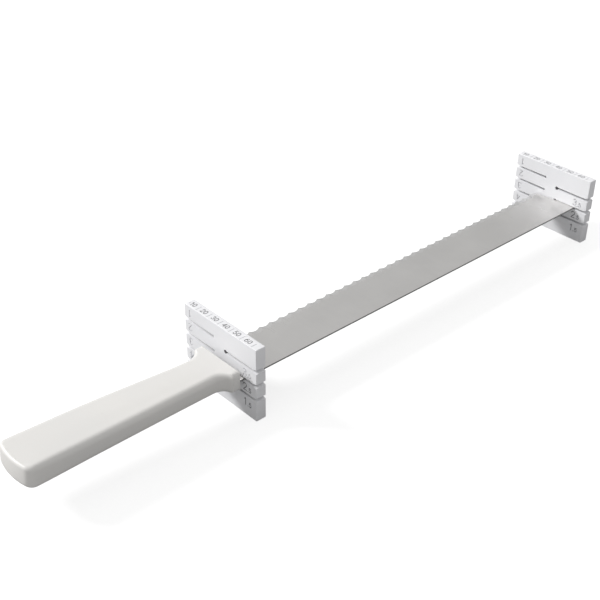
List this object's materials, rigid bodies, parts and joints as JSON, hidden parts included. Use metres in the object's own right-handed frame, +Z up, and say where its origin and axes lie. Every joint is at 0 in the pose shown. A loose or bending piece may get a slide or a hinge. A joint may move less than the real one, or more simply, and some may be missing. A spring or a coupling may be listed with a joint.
{
  "type": "cake leveler",
  "caption": "Long serrated cake knife with a moulded handle, held level at marked heights by two slotted guide plates that pull off sideways.",
  "frame": {"origin": "on the table that the guide plates stand on, under the middle of the whole tool's box", "axes": "+X along the knife from handle to tip, +Y towards the cutting edge, +Z up, square to the flat of the blade"},
  "size_m": [0.4634, 0.065, 0.05],
  "materials": {
    "blade_steel": "satin stainless steel, ground along its length, with a brighter bevel",
    "handle_white": "satin moulded polypropylene, warm white",
    "guide_white": "satin moulded plastic, cool white"
  },
  "bodies": {
    "knife": {"blade": "blade_steel", "handle": "handle_white"},
    "near_guide": {"near_guide": "guide_white"},
    "far_guide": {"far_guide": "guide_white"}
  },
  "joints": [
    {"name": "near_guide_pull", "type": "slide", "parent": "knife", "child": "near_guide", "axis": [0, 1, 0], "range_m": [0, 0.035]},
    {"name": "far_guide_pull", "type": "slide", "parent": "knife", "child": "far_guide", "axis": [0, 1, 0], "range_m": [0, 0.035]}
  ]
}
